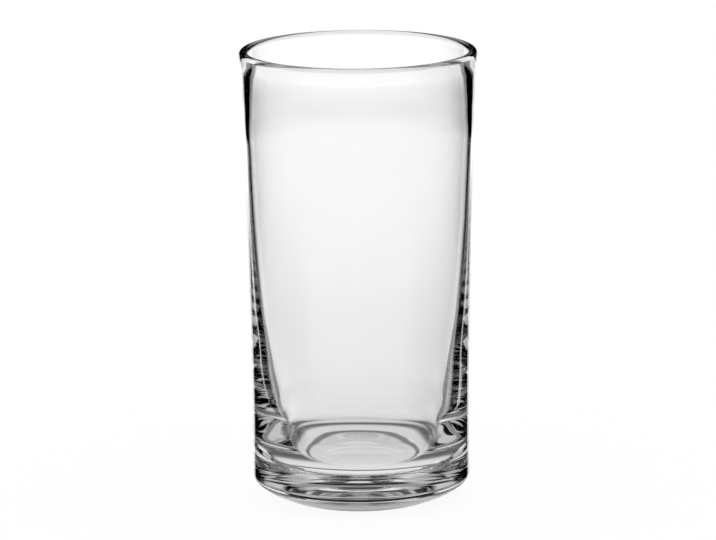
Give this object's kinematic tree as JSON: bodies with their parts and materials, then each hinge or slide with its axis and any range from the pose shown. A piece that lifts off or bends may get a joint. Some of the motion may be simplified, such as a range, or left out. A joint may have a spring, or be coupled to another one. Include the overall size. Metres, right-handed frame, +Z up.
{
  "type": "drinking glass tumbler",
  "caption": "Tall clear glass tumbler with nearly straight sides, a softly flared rounded rim, a thick solid base with a rounded heel, and a flat resting ring round a shallow hollow underneath.",
  "frame": {"origin": "centre of the plane that the glass stands on, under the middle of the base", "axes": "+Z up along the axis of the glass, from the base to the rim; the shape is the same all round"},
  "size_m": [0.073, 0.073, 0.14],
  "materials": {
    "clear_glass": "clear colourless soda-lime glass, blown, with a fire-polished surface"
  },
  "bodies": {
    "root": {"tumbler_glass": "clear_glass"}
  },
  "joints": []
}
